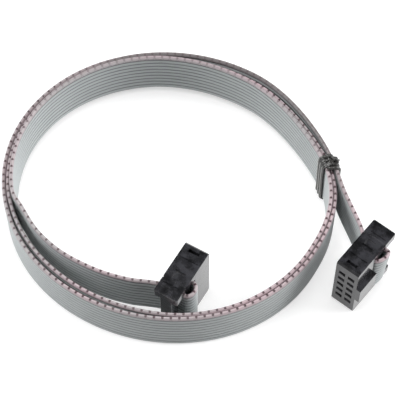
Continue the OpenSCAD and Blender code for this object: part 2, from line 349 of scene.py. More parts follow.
# %% [markdown]
# Floor and light
#
# The part stands on white paper. More light on the paper would bleach the grey ribbon too, so the
# paper is a middle grey to the lamps and gets its white from a glow of its own that only the camera
# and the reflections see. The glow grows away from the part, as far as the lamps fall off. The
# black sockets then mirror white paper, and the part's faint shadow stays under it.

# %% Helpers for sums
def put(tree, socket, value):
    """Links an input to an output, or sets it to a number or a colour."""
    if isinstance(value, bpy.types.NodeSocket):
        tree.links.new(value, socket)
    else:
        socket.default_value = value


def feed(tree, inputs, **values):
    """Links or sets each input that is named."""
    for label, value in values.items():
        put(tree, inputs[label.replace("_", " ")], value)


def math_node(tree, operation, a, b=None, clamp=False):
    """A Math node whose inputs are outputs or numbers; returns its output."""
    node = tree.nodes.new("ShaderNodeMath")
    node.operation = operation
    node.use_clamp = clamp
    put(tree, node.inputs[0], a)
    if b is not None:
        put(tree, node.inputs[1], b)
    return node.outputs[0]


def times(tree, a, b):
    return math_node(tree, "MULTIPLY", a, b)


def scaled(tree, value, rate, offset):
    """The value times a rate, plus an offset."""
    return math_node(tree, "ADD", times(tree, value, rate), offset)


def ramp(tree, value, start, rate):
    """A mask that grows at a rate from 0 at a start to 1; a rate below 0 turns it round."""
    return math_node(tree, "MULTIPLY", math_node(tree, "SUBTRACT", value, start), rate, clamp=True)


def away(tree, value, place):
    """How far the value is from a place, on either side of it."""
    return math_node(tree, "ABSOLUTE", math_node(tree, "SUBTRACT", value, place))


def fading(tree, value, rate):
    """A mask that is 1 where the value is 0 and fades at a rate."""
    return math_node(tree, "SUBTRACT", 1.0, times(tree, value, rate), clamp=True)


def seen_or_mirrored(tree):
    """1 for a ray from the camera, a reflection or a clear material, and 0 for the light itself."""
    rays = tree.nodes.new("ShaderNodeLightPath").outputs
    mirrored = math_node(tree, "MAXIMUM", rays["Is Glossy Ray"], rays["Is Transmission Ray"])
    return math_node(tree, "MAXIMUM", rays["Is Camera Ray"], mirrored)


print("helpers: put, feed, math_node, times, scaled, ramp, away, fading, seen_or_mirrored")

# %% Floor
PAPER_GREY = (0.5, 0.5, 0.5, 1)
GLOW_NEAR, GLOW_RATE, GLOW_FROM = 0.58, 0.6, 0.3
bpy.ops.object.select_all(action="DESELECT")
bpy.ops.mesh.primitive_plane_add(size=6, location=(0, 0, -0.0001))
floor = bpy.context.object
floor.name = "floor"

paper = bpy.data.materials.new("white_paper")
paper.use_nodes = True
tree = paper.node_tree
tree.nodes.clear()
output = tree.nodes.new("ShaderNodeOutputMaterial")
matt = tree.nodes.new("ShaderNodeBsdfDiffuse")
feed(tree, matt.inputs, Color=PAPER_GREY)
glow = tree.nodes.new("ShaderNodeEmission")
far = tree.nodes.new("ShaderNodeVectorMath")
far.operation = "LENGTH"
put(tree, far.inputs[0], tree.nodes.new("ShaderNodeTexCoord").outputs["Object"])
outward = math_node(tree, "SUBTRACT", far.outputs["Value"], GLOW_FROM, clamp=True)
level = scaled(tree, outward, GLOW_RATE, GLOW_NEAR)
feed(tree, glow.inputs, Strength=times(tree, level, seen_or_mirrored(tree)))
both = tree.nodes.new("ShaderNodeAddShader")
put(tree, both.inputs[0], matt.outputs[0])
put(tree, both.inputs[1], glow.outputs[0])
feed(tree, output.inputs, Surface=both.outputs[0])
floor.data.materials.append(paper)
print("floor:", floor.name, "with", paper.name)

# %% [markdown]
# Lamps
#
# The light is soft and comes from three sides: two broad lamps, left and right, make the ends of
# the coil pale, and a square one straight above fills the inside. None stands in front, so the side
# of the coil that faces the camera stays a little darker. A dim even sky lifts what none of them
# reaches. To the camera and in reflections it is white near the horizon, as a backdrop is, and dim
# overhead, where the black tops of the sockets mirror it. The view transform is left plain, so that
# a colour renders about as it is written.

# %% Lamps and sky
SKY_LIGHT = 0.08
SKY_TOP, SKY_RATE = 0.65, 2.5
LAMPS = [
    ("left_lamp", (-0.9, 0.1, 0.55), (0.5, 0.8), 8.0),
    ("right_lamp", (0.9, 0.05, 0.5), (0.5, 0.8), 9.8),
    ("top_lamp", (-0.006, 0.0, 0.8), (0.5, 0.5), 4.4),
]

world = bpy.data.worlds.new("studio")
world.use_nodes = True
tree = world.node_tree
aim_at = tree.nodes.new("ShaderNodeSeparateXYZ")
put(tree, aim_at.inputs[0], tree.nodes.new("ShaderNodeTexCoord").outputs["Generated"])
low = ramp(tree, aim_at.outputs["Z"], SKY_TOP, -SKY_RATE)
shown = times(tree, low, seen_or_mirrored(tree))
strength = scaled(tree, shown, 1 - SKY_LIGHT, SKY_LIGHT)
feed(tree, tree.nodes["Background"].inputs, Color=(1, 1, 1, 1), Strength=strength)
bpy.context.scene.world = world
for name, place, size, power in LAMPS:
    light = bpy.data.lights.new(name, "AREA")
    light.shape = "RECTANGLE"
    light.size, light.size_y = size
    light.energy = power
    lamp = bpy.data.objects.new(name, light)
    lamp.location = place
    lamp.rotation_euler = (COIL - Vector(place)).to_track_quat("-Z", "Y").to_euler()
    bpy.context.scene.collection.objects.link(lamp)
bpy.context.scene.view_settings.view_transform = "Standard"
print("lamps:", [lamp.name for lamp in bpy.data.lights])

# %% [markdown]
# The sockets, one moulding at a time
#
# A socket is three mouldings that are pressed together: a body with a slot for each pin, a cover
# that pushes the ribbon down on the forks, and a strain relief that clips over the folded ribbon.
# Each starts as a cube of the right size. Hollows are cut with a boolean, because they are truly
# hollow and a dark patch of paint would not catch light on its walls. All three are made once,
# lying along X with the mating face at X = 0, and copied to both ends of the ribbon.

# %% Blocks and cuts
BODY_DEEP = 6.4
BODY_WIDE = 6.1
HIGH = 17.3
COVER_WIDE = 5.4
EAR = MARGIN - 0.1
RIBBON_BACK = FOLD_U + FOLD_RADIUS - THICK / 2 - 0.04
COVER_BACK = FOLD_U - FOLD_RADIUS + THICK / 2 + 0.05
RELIEF_BACK = COVER_BACK - 4


def block(name, low, high):
    """A box from its lowest to its highest corner, in millimetres, with its place in its mesh."""
    low, high = Vector(low) * MM, Vector(high) * MM
    bpy.ops.object.select_all(action="DESELECT")
    bpy.ops.mesh.primitive_cube_add(size=1, location=(low + high) / 2)
    obj = bpy.context.object
    obj.name = name
    obj.scale = high - low
    bpy.ops.object.transform_apply(location=True, rotation=True, scale=True)
    return obj


def combine(piece, tool, operation):
    """Cuts the tool out of the piece or adds it to the piece, and uses the tool up."""
    change = piece.modifiers.new("combine", "BOOLEAN")
    change.operation = operation
    change.solver = "EXACT"
    change.object = tool
    only(piece)
    bpy.ops.object.modifier_apply(modifier=change.name)
    bpy.data.objects.remove(tool)


def cut(piece, name, low, high):
    """Cuts a box out of the piece."""
    combine(piece, block(name, low, high), "DIFFERENCE")


def ends(depth):
    """From and to which height a cut of this depth reaches, in the lower and the upper end."""
    return (-1, depth), (HIGH - depth, HIGH + 1)


def sides(off):
    """From where to where a cut reaches across, on both sides, if it starts this far out."""
    return (-4, -off), (off, 4)


print("socket:", round(-RELIEF_BACK, 2), "x", BODY_WIDE, "x", HIGH, "mm")

# %% [markdown]
# Edges, polish and picking
#
# No moulded edge is sharp: a narrow bevel gives each the thin line of light that the eye expects,
# and weighted normals keep the broad faces flat beside it. The long sides came out of a polished
# half of the mould and the ends out of a dull one, so a number on each face says how polished it
# is, and the finish reads it. Faces and edges to work on are picked by their place or normal.

# %% Edges, polish and picking
def soften(piece, width):
    """Rounds every sharp edge by a width in millimetres."""
    edge = piece.modifiers.new("edge", "BEVEL")
    edge.width = width * MM
    edge.segments = 2
    edge.limit_method = "ANGLE"
    edge.angle_limit = math.radians(35)
    edge.use_clamp_overlap = True
    only(piece)
    bpy.ops.object.modifier_apply(modifier=edge.name)


def even(piece):
    """Shades narrow bevels softly and broad faces flat, and marks how polished each face is."""
    only(piece)
    bpy.ops.object.shade_smooth_by_angle(angle=math.radians(38))
    flat = piece.modifiers.new("flat", "WEIGHTED_NORMAL")
    flat.keep_sharp = True
    flat.weight = 100
    bpy.ops.object.modifier_apply(modifier=flat.name)
    shine = piece.data.attributes.new("polish", "FLOAT", "FACE")
    for face in piece.data.polygons:
        side, front = abs(face.normal.y) > 0.7, face.normal.x > 0.7
        shine.data[face.index].value = 1.0 if side else 0.3 if front else 0.0


def pick(piece, kind, test):
    """Opens a piece in edit mode with the faces or edges selected that pass a test."""
    only(piece)
    bpy.ops.object.mode_set(mode="EDIT")
    bpy.ops.mesh.select_mode(type=kind)
    bpy.ops.mesh.select_all(action="DESELECT")
    form = bmesh.from_edit_mesh(piece.data)
    for part in form.faces if kind == "FACE" else form.edges:
        part.select_set(test(part))
    bmesh.update_edit_mesh(piece.data)


def round_edges(piece, width, steps, test):
    """Rounds only the edges that pass a test of their two ends, all in millimetres."""
    pick(piece, "EDGE", lambda edge: test(*(v.co / MM for v in edge.verts)))
    bpy.ops.mesh.bevel(offset=width * MM, segments=steps, affect="EDGES")
    bpy.ops.object.mode_set(mode="OBJECT")


print("helpers: soften, even, pick, round_edges")

# %% [markdown]
# The body
#
# The end that takes the pins has its two short edges cut back, so that it finds its way into a
# header. A cube is enough for the start: in edit mode those two edges are selected by their place
# and bevelled in one step.

# %% Body
CHAMFER = 0.45
NEAR = 0.01
body = block("body", (-BODY_DEEP, -BODY_WIDE / 2, 0), (0, BODY_WIDE / 2, HIGH))
round_edges(body, CHAMFER, 1, lambda a, b: max(abs(a.x), abs(b.x), abs(a.z - b.z)) < NEAR)
print("body's block:", len(body.data.polygons), "faces")

# %% [markdown]
# The key
#
# On one long side stands the key, a plain ridge that fits a notch in the header, so that the plug
# goes in only one way. It could be extruded from the body's side after two cuts across it. A block
# of its own that is joined on needs no cuts, and its outer face is drawn together a little, as the
# draft of a mould does.

# %% Key
KEY_SUNK, KEY_PROUD, KEY_BASE, KEY_FLAT = 0.4, 1.15, 2.5, 2.45
key_low = (-BODY_DEEP, BODY_WIDE / 2 - KEY_SUNK, HIGH / 2 - KEY_BASE)
key = block("key", key_low, (0, BODY_WIDE / 2 + KEY_PROUD, HIGH / 2 + KEY_BASE))
pick(key, "FACE", lambda face: face.normal.y > 0.9)
bpy.ops.transform.resize(value=(1, 1, KEY_FLAT / KEY_BASE), center_override=(0, 0, HIGH / 2 * MM))
bpy.ops.object.mode_set(mode="OBJECT")
combine(body, key, "UNION")
print("key:", KEY_PROUD, "mm proud,", 2 * KEY_BASE, "mm long")

# %% [markdown]
# Slots for the pins
#
# Ten slots open into wider chambers, where the contacts sit, and behind each a narrow way lets its
# fork reach the ribbon. A shallow wider mouth leads the pin in. They are cut one by one from the
# places of the wires, so that slots, forks and wires always agree.

# %% Slots
# from and to, measured from the mating face, then half a width and half a height
OPENINGS = [
    ("slot", -1.1, 1, 0.75, 0.5),
    ("lead_in", -0.3, 1, 0.88, 0.64),
    ("chamber", -5.3, -1.0, 0.95, 0.55),
    ("fork_way", -7, -4.9, 0.2, 0.5),
]


def row_height(i):
    return HIGH - MARGIN - (i // 2 * 2 + 1) * PITCH


def wire_height(i):
    return HIGH - MARGIN - (i + 0.5) * PITCH


def column(i):
    return PITCH if i % 2 == 0 else -PITCH


for i in range(WIRES):
    y = column(i)
    for name, back, front, wide, high in OPENINGS:
        z = wire_height(i) if name == "fork_way" else row_height(i)
        cut(body, name, (back, y - wide, z - high), (front, y + wide, z + high))
soften(body, 0.11)
print("body with slots:", len(body.data.polygons), "faces")

# %% [markdown]
# Lines on the body's ends
#
# Each end shows a fine line where two parts of the mould met, and a deep mark near the pins. They
# are cut after the edges are rounded: a bevel on something this narrow would catch the lamps and
# turn a dark line into a bright one.

# %% Lines on the body's ends
LINE_DEEP, MARK_DEEP = 0.3, 1.3
for low, high in ends(LINE_DEEP):
    cut(body, "step", (-4.1, -2.5, low), (-3.9, 2.5, high))
for low, high in ends(MARK_DEEP):
    cut(body, "mark", (-2.05, -1.0, low), (-1.35, 1.0, high))
    for side in (-1.15, 1.15):
        cut(body, "mark_end", (-2.15, side - 0.25, low), (-1.25, side + 0.25, high))
even(body)
print("body:", len(body.data.polygons), "faces")

# %% [markdown]
# The cover
#
# The cover is pressed down on the ribbon until the ten forks cut through to the wires. Its two feet
# reach past the ribbon to the body, so a wide gap is cut for the ribbon from side to side, with a
# small pit for the tip of each fork. Shallow square pits in its ends are left by the tool that
# presses it on.

# %% Cover
NICK_WIDE, NICK_DEEP = 0.3, 0.35
PIT_DEEP, SEAM_DEEP = 0.25, 0.5
FORK_PIT_DEEP = 0.6
cover = block("cover", (COVER_BACK, -BODY_WIDE / 2, 0), (-BODY_DEEP, BODY_WIDE / 2, HIGH))
for low, high in sides(COVER_WIDE / 2):
    cut(cover, "flank", (COVER_BACK - 1, low, EAR), (0, high, HIGH - EAR))
for low, high in sides(BODY_WIDE / 2 - NICK_WIDE):
    cut(cover, "nick", (COVER_BACK - 1, low, -1), (COVER_BACK + NICK_DEEP, high, HIGH + 1))
cut(cover, "gap", (RIBBON_BACK, -4, EAR), (-5, 4, HIGH - EAR))
for low, high in ends(PIT_DEEP):
    cut(cover, "pit", (FOLD_U - 0.4, -1.0, low), (FOLD_U + 1.3, 1.0, high))
for i in range(WIRES):
    y, z = column(i), wire_height(i)
    pit_low = (RIBBON_BACK - FORK_PIT_DEEP, y - 0.3, z - 0.5)
    cut(cover, "fork_pit", pit_low, (RIBBON_BACK + 0.1, y + 0.3, z + 0.5))
soften(cover, 0.1)
for low, high in ends(SEAM_DEEP):
    cut(cover, "line", (FOLD_U + 1.35, -1.3, low), (FOLD_U + 1.6, 1.3, high))
even(cover)
print("cover:", len(cover.data.polygons), "faces")

# %% [markdown]
# The strain relief
#
# One bar between two end plates clips over the folded ribbon and takes the pull on it. The block's
# two upright back edges are rounded first, while they are easy to select, and then the space under
# the bar and a window on each side are cut out, which let the ribbon in and out.

# %% Strain relief
UNDER_BAR = FOLD_U - FOLD_RADIUS - THICK / 2 - 0.06
BAR = 2.8
BACK_ROUND = 0.35
relief = block("relief", (RELIEF_BACK, -BODY_WIDE / 2, 0), (COVER_BACK, BODY_WIDE / 2, HIGH))
round_edges(relief, BACK_ROUND, 3, lambda a, b: abs(a.z - b.z) > 1 and a.x < RELIEF_BACK + NEAR)
cut(relief, "under", (UNDER_BAR, -4, EAR), (0, 4, HIGH - EAR))
for low, high in sides(BAR / 2):
    cut(relief, "window", (RELIEF_BACK - 1, low, EAR), (0, high, HIGH - EAR))
soften(relief, 0.08)
for low, high in ends(LINE_DEEP):
    cut(relief, "line", (COVER_BACK - 1.1, -1.7, low), (COVER_BACK - 0.9, 2.3, high))
even(relief)
print("strain relief:", len(relief.data.polygons), "faces")

# %% [markdown]
# Copies at both ends
#
# Both plugs came out of the same moulds, so each moulding is copied with its own mesh, turned and
# moved to its end of the ribbon. The turn goes into the mesh itself: the objects stay unturned at
# the origin, as the nodes that they stand for do, and patterns on their coordinates stay put.

# %% Copies at both ends
sockets = {"a": [], "b": []}
for end, spot, turn in (("a", PLUG_A, TURN_A), ("b", PLUG_B, TURN_B)):
    place = Matrix.Translation(COIL + spot * MM) @ Matrix.Rotation(math.radians(turn), 4, "Z")
    for model, node in ((body, "socket_body_"), (cover, "cover_"), (relief, "strain_relief_")):
        piece = model.copy()
        piece.data = model.data.copy()
        piece.data.transform(place)
        piece.name = piece.data.name = "moulded_" + node + end
        bpy.context.scene.collection.objects.link(piece)
        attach(piece, "root")
        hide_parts(node + end)
        sockets[end].append(piece)
for model in (body, cover, relief):
    bpy.data.objects.remove(model)
print("mouldings:", [piece.name for end in "ab" for piece in sockets[end]])

# %% [markdown]
# The tie
#
# The tie is a flat strip of black plastic with a wire along its middle. It goes three times round
# the three layers, and its two ends are twisted together on top. A plain curve would not know
# which way the flat strip faces, so its path is a list of rings, each with a place, the side that
# faces out and a width. First come the rings of the three wraps, side by side on the ribbon.

# %% Wraps of the tie
TIE_THICK, TIE_WIDE, TIE_RIDGE = 0.34, 1.05, 0.2
TIE_STEP = 1.12
TIE_LIFT = 1.8
TIE_INSIDE, TIE_OUTSIDE = 0.26, 0.24
SPAN = 4

lay = TIE_THICK / 2
foot = TIE_THICK + TIE_RIDGE + 0.02
crest = WIDE + TIE_LIFT + lay
here = wound_radius(TIE_ANGLE)
slope_in = wound_radius(TIE_ANGLE + SPAN) - wound_radius(TIE_ANGLE - SPAN)
slope_in /= 2 * here * sind(SPAN)
slope_out = -0.156
inner = here - THICK / 2 - TIE_INSIDE
outer = wound_radius(TIE_ANGLE - 720) + THICK / 2 + TIE_OUTSIDE
middle = (inner + outer) / 2

# inner top, inner foot, outer foot, outer top: share of the wrap, first angle, bend, and the way to
# the last place before the bend and the first place after it
UPRIGHT, LEVEL, NONE = Vector((0, 0, 0.8)), Vector((0.4, 0, 0)), Vector()
CORNERS = [
    (0.04, 90, 1.7, NONE, -UPRIGHT),
    (0.44, 180, 0.9, UPRIGHT, LEVEL),
    (0.53, 270, 0.9, -LEVEL, UPRIGHT),
    (0.93, 0, 1.3, -UPRIGHT, NONE),
]


def wrap(turn):
    """The rings of one wrap, with straight places beside each bend."""
    rings = []
    for corner, (share, start, bend, before, after) in enumerate(CORNERS):
        slope, edge, way = (slope_in, inner, 1) if corner < 2 else (slope_out, outer, -1)
        z = crest - bend if corner in (0, 3) else foot - lay + bend
        arc = []
        for k in range(4):
            t = start + 30 * k
            y = TIE_STEP * (1.5 - turn - share - 0.01 * k)
            x = edge + slope * y + way * (bend - lay)
            place = Vector((x + bend * cosd(t), y, z + bend * sind(t)))
            arc.append((place, Vector((cosd(t), -slope * cosd(t), sind(t))), 1.0))
        if before.length:
            rings.append((arc[0][0] + before, *arc[0][1:]))
        rings += arc
        if after.length:
            rings.append((arc[-1][0] + after, *arc[-1][1:]))
    return rings


print("wraps:", round(outer - inner, 2), "mm wide,", round(crest - foot, 2), "mm high")

# %% [markdown]
# The twisted ends
#
# The two ends wind about one short line that leans over the rims, each on its own side of it and a
# sixth of a turn further at each ring. That needs only a sine and a cosine, where a hand-drawn
# twist would need every ring set by eye. A few rings join the ends to the first and last wrap.

# %% Twisted ends
TWIST = [(0, 0.86), (0.45, 0.86), (0.85, 0.8), (1.2, 0.68), (1.5, 0.5), (1.75, 0.25)]
TWIST_LEAN = -35
TWIST_APART, TWIST_WIDTH = 0.26, 0.62
twist_way = Vector((cosd(TWIST_LEAN), sind(TWIST_LEAN), 0))
twist_side = Vector((-twist_way.y, twist_way.x, 0))
twist_start = Vector((outer - 1.2, 0.75, crest))
twist_line = [twist_start + twist_way * s + Vector((0, 0, z)) for s, z in TWIST]


def way_at(line, n):
    """The way a line goes at one of its places."""
    return (line[min(n + 1, len(line) - 1)] - line[max(n - 1, 0)]).normalized()


def twisted(i, sign):
    """A ring of one of the two ends, on its side of the line that they twist about."""
    up = way_at(twist_line, i).cross(twist_side)
    out = (twist_side * cosd(90 + 60 * i) + up * sind(90 + 60 * i)) * sign
    return (twist_line[i] + out * TWIST_APART, out, TWIST_WIDTH)


def over(x, y, z, out, width=1.0):
    """A ring above the rims; x counts from the middle of the wraps and z from their top."""
    return (Vector((middle + x, y, crest + z)), Vector(out), width)


tie_rings = [twisted(i, 1) for i in range(5, -1, -1)]
tie_rings += [
    over(0.45, 1.4, 0.55, (0.35, -0.2, 0.92), 0.85),
    over(-0.3, 1.66, 0.14, (0.2, -0.05, 0.98)),
]
for turn in range(3):
    tie_rings += wrap(turn)
    if turn < 2:
        tie_rings.append(over(0, TIE_STEP * (0.52 - turn), 0.2, (0, 0, 1)))
tie_rings += [
    over(0.2, -1.68, 0, (0, 0, 1)),
    over(-0.6, -1.66, 0.14, (0.5, 0, 1), 0.95),
    over(-0.95, -1.5, 0.56, (1, 0, 0), 0.9),
    over(-0.6, -1.15, 0.96, (0.3, 0.2, -1), 0.85),
    over(0.3, -0.45, 0.96, (0, 0, -1), 0.75),
]
tie_rings += [twisted(i, -1) for i in range(6)]
print("tie:", len(tie_rings), "rings")

# %% [markdown]
# The strip
#
# A smooth curve is drawn through the rings, and a rounded section with the wire's ridge on its
# outer side follows it, turned at every step so that the ridge faces out. The curve takes its slope
# at each ring from the steps on both sides, so a short step beside a long one doesn't overshoot.

# %% Strip of the tie
def between(values, i, t):
    """A smooth value between entry i of a list, where t is 0, and the next, where t is 1."""
    slopes = []
    for k in (i, i + 1):
        if 0 < k < len(values) - 1:
            before, after = gaps[k - 1], gaps[k]
            rise_before = (values[k] - values[k - 1]) / before
            rise_after = (values[k + 1] - values[k]) / after
            slopes.append(gaps[i] * (rise_before * after + rise_after * before) / (before + after))
        else:
            slopes.append(values[i + 1] - values[i])
    eased_t = t * t * (3 - 2 * t)
    bend = slopes[0] * t * (1 - t) ** 2 - slopes[1] * t * t * (1 - t)
    return values[i] * (1 - eased_t) + values[i + 1] * eased_t + bend


HALF_FLAT = [(0.42, -0.5), (0.49, -0.25), (0.49, 0.25), (0.42, 0.5), (0.3, 0.5)]
HALF_WIRE = [(0.27, 0.0), (0.2, 0.7), (0.1, 0.97), (0.0, 1.0)]
FINER = 6
section = [(x * TIE_WIDE, z * TIE_THICK) for x, z in HALF_FLAT]
section += [(x, lay + z * TIE_RIDGE) for x, z in HALF_WIRE]
crown = len(section) - 1
section += [(-x, z) for x, z in section[crown - 1 :: -1]]

places, outs, widths = zip(*tie_rings)
gaps = [(q - p).length for p, q in zip(places, places[1:])]
steps = [(i, k / FINER) for i in range(len(gaps)) for k in range(FINER)] + [(len(gaps) - 1, 1.0)]
line = [between(places, i, t) for i, t in steps]
turned = Matrix.Translation(COIL) @ Matrix.Rotation(math.radians(TIE_ANGLE), 4, "Z")
rings, run = [], [0.0]
for n, (i, t) in enumerate(steps):
    along = way_at(line, n)
    across = between(outs, i, t).cross(along).normalized()
    out = along.cross(across)
    width = between(widths, i, t)
    rings.append([turned @ ((line[n] + across * x * width + out * z) * MM) for x, z in section])
    if n:
        run.append(run[-1] + (line[n] - line[n - 1]).length * MM)
tie = skin("wire_tie", rings, [k / len(section) for k in range(len(section))], run, 40)
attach(tie, "root")
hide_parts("tie")
print("tie:", len(tie.data.polygons), "faces,", round(run[-1] * 1000, 1), "mm of strip")

# %% [markdown]
# Helpers for node trees
#
# A finish is a tree of small nodes. Adding them one by one hides the idea under lines that only
# link sockets, so two more helpers do that: one opens a node group with named sockets, and one adds
# a noise pattern.

# %% Helpers for node trees
def group(name, inputs, outputs):
    """A new shader node group with float sockets, and its input and output nodes."""
    tree = bpy.data.node_groups.new(name, "ShaderNodeTree")
    for label, value in inputs:
        socket = tree.interface.new_socket(label, in_out="INPUT", socket_type="NodeSocketFloat")
        socket.default_value = value
    for label in outputs:
        tree.interface.new_socket(label, in_out="OUTPUT", socket_type="NodeSocketFloat")
    return tree, tree.nodes.new("NodeGroupInput"), tree.nodes.new("NodeGroupOutput")


def noise(tree, scale, detail):
    """A noise pattern on the piece's own coordinates; returns its value."""
    node = tree.nodes.new("ShaderNodeTexNoise")
    place = tree.nodes.new("ShaderNodeTexCoord").outputs["Object"]
    feed(tree, node.inputs, Detail=detail, Scale=scale, Vector=place)
    return node.outputs[0]


print("helpers: group, noise")

# %% [markdown]
# Handled plastic
#
# Plastic that has been handled is never even: it has a fine grain, broad soft patches where the
# gloss changes, and a few specks of dust. Every finish here needs that, at its own scale, so it is
# a node group with the scales as inputs and the three patterns as outputs.

# %% Handled plastic
scales = [("Grain scale", 4000.0), ("Patch scale", 300.0)]
handled, given, result = group("handled_plastic", scales, ["Grain", "Patches", "Specks"])
patch_scale = given.outputs["Patch scale"]
specks = noise(handled, times(handled, patch_scale, 9.0), 2)
feed(
    handled, result.inputs, Grain=noise(handled, given.outputs["Grain scale"], 3),
    Patches=noise(handled, patch_scale, 4), Specks=ramp(handled, specks, 0.6, 8.0),
)
print("group:", handled.name)

# %% [markdown]
# The mark on the first wire
#
# One edge of such a ribbon is marked along its whole length, so that its first wire is found at
# both ends: a pale wash over the wire, and small dark dashes every two millimetres, which are
# strong on the very edge and run out into two faint slanted legs on each face. The group turns the
# ribbon's own UV map, length along and height across, into four masks: for the wash, the dashes,
# the very edge, and a line of painted shade in the groove that parts the first wire from the second.

# %% Marked wire
FIRST_GROOVE = 0.9
values = [("Along", 0.0), ("Height", 0.0), ("Spacing", 0.0019), ("Dash share", 0.3)]
marking, given, result = group("marked_wire", values, ["Wash", "Dash", "Rim", "Groove"])
height = given.outputs["Height"]
repeats = math_node(marking, "DIVIDE", given.outputs["Along"], given.outputs["Spacing"])
from_middle = away(marking, math_node(marking, "FRACT", repeats), 0.5)
spread = times(marking, math_node(marking, "SUBTRACT", 0.985, height), 4.2)
from_leg = away(marking, from_middle, math_node(marking, "MAXIMUM", spread, 0.0))
top_wire = ramp(marking, height, FIRST_GROOVE, 60.0)
on_rim = ramp(marking, height, 0.98, 80.0)
thick = scaled(marking, on_rim, 0.3, 0.2)
reach = times(marking, given.outputs["Dash share"], thick)
dash = ramp(marking, math_node(marking, "SUBTRACT", reach, from_leg), -0.03, 14.0)
# painted shade: a mask for a dark line in the groove between the first wire and the second
first_groove_shade = fading(marking, away(marking, height, FIRST_GROOVE), 110.0)
dash = times(marking, dash, top_wire)
feed(marking, result.inputs, Wash=top_wire, Dash=dash, Rim=on_rim, Groove=first_groove_shade)
print("node groups:", [g.name for g in bpy.data.node_groups])

# %% [markdown]
# Helpers for finishes
#
# Every finish starts from one Principled shader, whose even values sit on its own sockets, and from
# the handled plastic at its own scales. The other helpers read the piece's UV map, mix two colours,
# add a bump, and give a piece its one material.

# %% Helpers for finishes
def finish(name, roughness, ior):
    """A new material: the material, its node tree and the inputs of its one Principled shader."""
    material = bpy.data.materials.new(name)
    material.use_nodes = True
    tree = material.node_tree
    inputs = tree.nodes["Principled BSDF"].inputs
    feed(tree, inputs, Roughness=roughness, IOR=ior)
    return material, tree, inputs


def add_group(tree, name, **values):
    node = tree.nodes.new("ShaderNodeGroup")
    node.node_tree = bpy.data.node_groups[name]
    feed(tree, node.inputs, **values)
    return node.outputs


def handled_plastic(tree, grain, patch):
    return add_group(tree, "handled_plastic", Grain_scale=grain, Patch_scale=patch)


def chart(tree):
    """The piece's UV map: the length along it, and the share across it."""
    uv = tree.nodes.new("ShaderNodeUVMap")
    uv.uv_map = "UVMap"
    apart = tree.nodes.new("ShaderNodeSeparateXYZ")
    put(tree, apart.inputs[0], uv.outputs["UV"])
    return apart.outputs["X"], apart.outputs["Y"]


def tint(tree, factor, below, above):
    """Mixes two colours by a factor; each is an output or a colour. Returns the mixed colour."""
    node = tree.nodes.new("ShaderNodeMix")
    node.data_type = "RGBA"
    colours = [socket for socket in node.inputs if socket.type == "RGBA"]
    for socket, value in zip(colours, (below, above)):
        put(tree, socket, (*value, 1) if isinstance(value, tuple) else value)
    put(tree, node.inputs[0], factor)
    return [socket for socket in node.outputs if socket.type == "RGBA"][0]


def bump(tree, shader, pattern, strength, depth):
    node = tree.nodes.new("ShaderNodeBump")
    feed(tree, node.inputs, Strength=strength, Distance=depth, Height=pattern)
    feed(tree, shader, Normal=node.outputs[0])


def dress(piece, material):
    piece.data.materials.clear()
    piece.data.materials.append(material)


print("helpers: finish, add_group, handled_plastic, chart, tint, bump, dress")

# %% [markdown]
# Grey vinyl
#
# The ribbon is soft grey vinyl with a dull gloss. Its colour comes from the two patch tones of the
# handled plastic, and a narrow dark line of painted shade lies in each groove between two wires:
# it is a PINGPONG of the height, so there is one for every wire.

# %% Grey vinyl
vinyl, tree, shader = finish("grey_vinyl", 0.36, 1.5)
wear = handled_plastic(tree, 2600.0, 160.0)
length_along, share_up = chart(tree)
marked = add_group(tree, "marked_wire", Along=length_along, Height=share_up)
grey = tint(tree, wear["Patches"], (0.455, 0.487, 0.493), (0.525, 0.555, 0.557))
from_web = math_node(tree, "PINGPONG", times(tree, share_up, float(WIRES)), 0.5)
# painted shade: a narrow dark line in every groove between two wires
painted_valley_shade = times(tree, fading(tree, from_web, 4.6), 0.95)
grey = tint(tree, painted_valley_shade, grey, (0.09, 0.095, 0.1))
feed(tree, shader, Roughness=scaled(tree, wear["Patches"], 0.2, 0.28))
bump(tree, shader, wear["Grain"], 0.12, 0.00003)
print("finish:", vinyl.name)

# %% [markdown]
# Pink wash and dashes
#
# The wash is fresher in some places than in others, and two stretches differ: at the back of the
# first time round it is faint, and near the outer end it turns a dark brown grey. The mark follows
# the UV map, not the space around the ribbon, so its dashes keep their distance through the folds
# and round the coil, and these two stretches are named by their length.

# %% Pink wash and dashes
SOFT = 0.02
back = (lengths[first_coil + 14], lengths[first_coil + 106])
near_end = (lengths[-1] - 0.125, lengths[-1] - 0.045)


def stretch_mask(stretch):
    """A mask that is 1 between two lengths along the ribbon, with soft ends."""
    rise, fall = (ramp(tree, length_along, place, 1 / SOFT) for place in stretch)
    return math_node(tree, "SUBTRACT", rise, fall, clamp=True)


faded, toned = stretch_mask(back), stretch_mask(near_end)
fresh = ramp(tree, noise(tree, 30.0, 2), 0.32, 2.6)
wash, dash, rim, first_groove_shade = (marked[label] for label in ("Wash", "Dash", "Rim", "Groove"))
rose = tint(tree, fresh, (0.42, 0.40, 0.40), (0.60, 0.45, 0.48))
rose = tint(tree, scaled(tree, rim, -0.2, 0.2), rose, (0.52, 0.25, 0.33))
# near the outer end the wash turns a dark brown grey
rose = tint(tree, toned, rose, (0.165, 0.138, 0.138))
strength = scaled(tree, faded, -0.25, 0.75)
pink = tint(tree, times(tree, wash, strength), grey, rose)
# painted shade in the groove under the first wire, dark with a red tinge
with_groove_shade = tint(tree, times(tree, first_groove_shade, 0.6), pink, (0.10, 0.05, 0.07))
paled = times(tree, math_node(tree, "MAXIMUM", faded, toned), 0.5)
dots = math_node(tree, "SUBTRACT", scaled(tree, fresh, 0.2, 0.55), paled, clamp=True)
ink = times(tree, dash, scaled(tree, rim, dots, 0.3))
feed(tree, shader, Base_Color=tint(tree, ink, with_groove_shade, (0.045, 0.014, 0.022)))
for piece in ribbon.values():
    dress(piece, vinyl)
print("worn stretches:", [[round(place, 3) for place in stretch] for stretch in (back, near_end)])

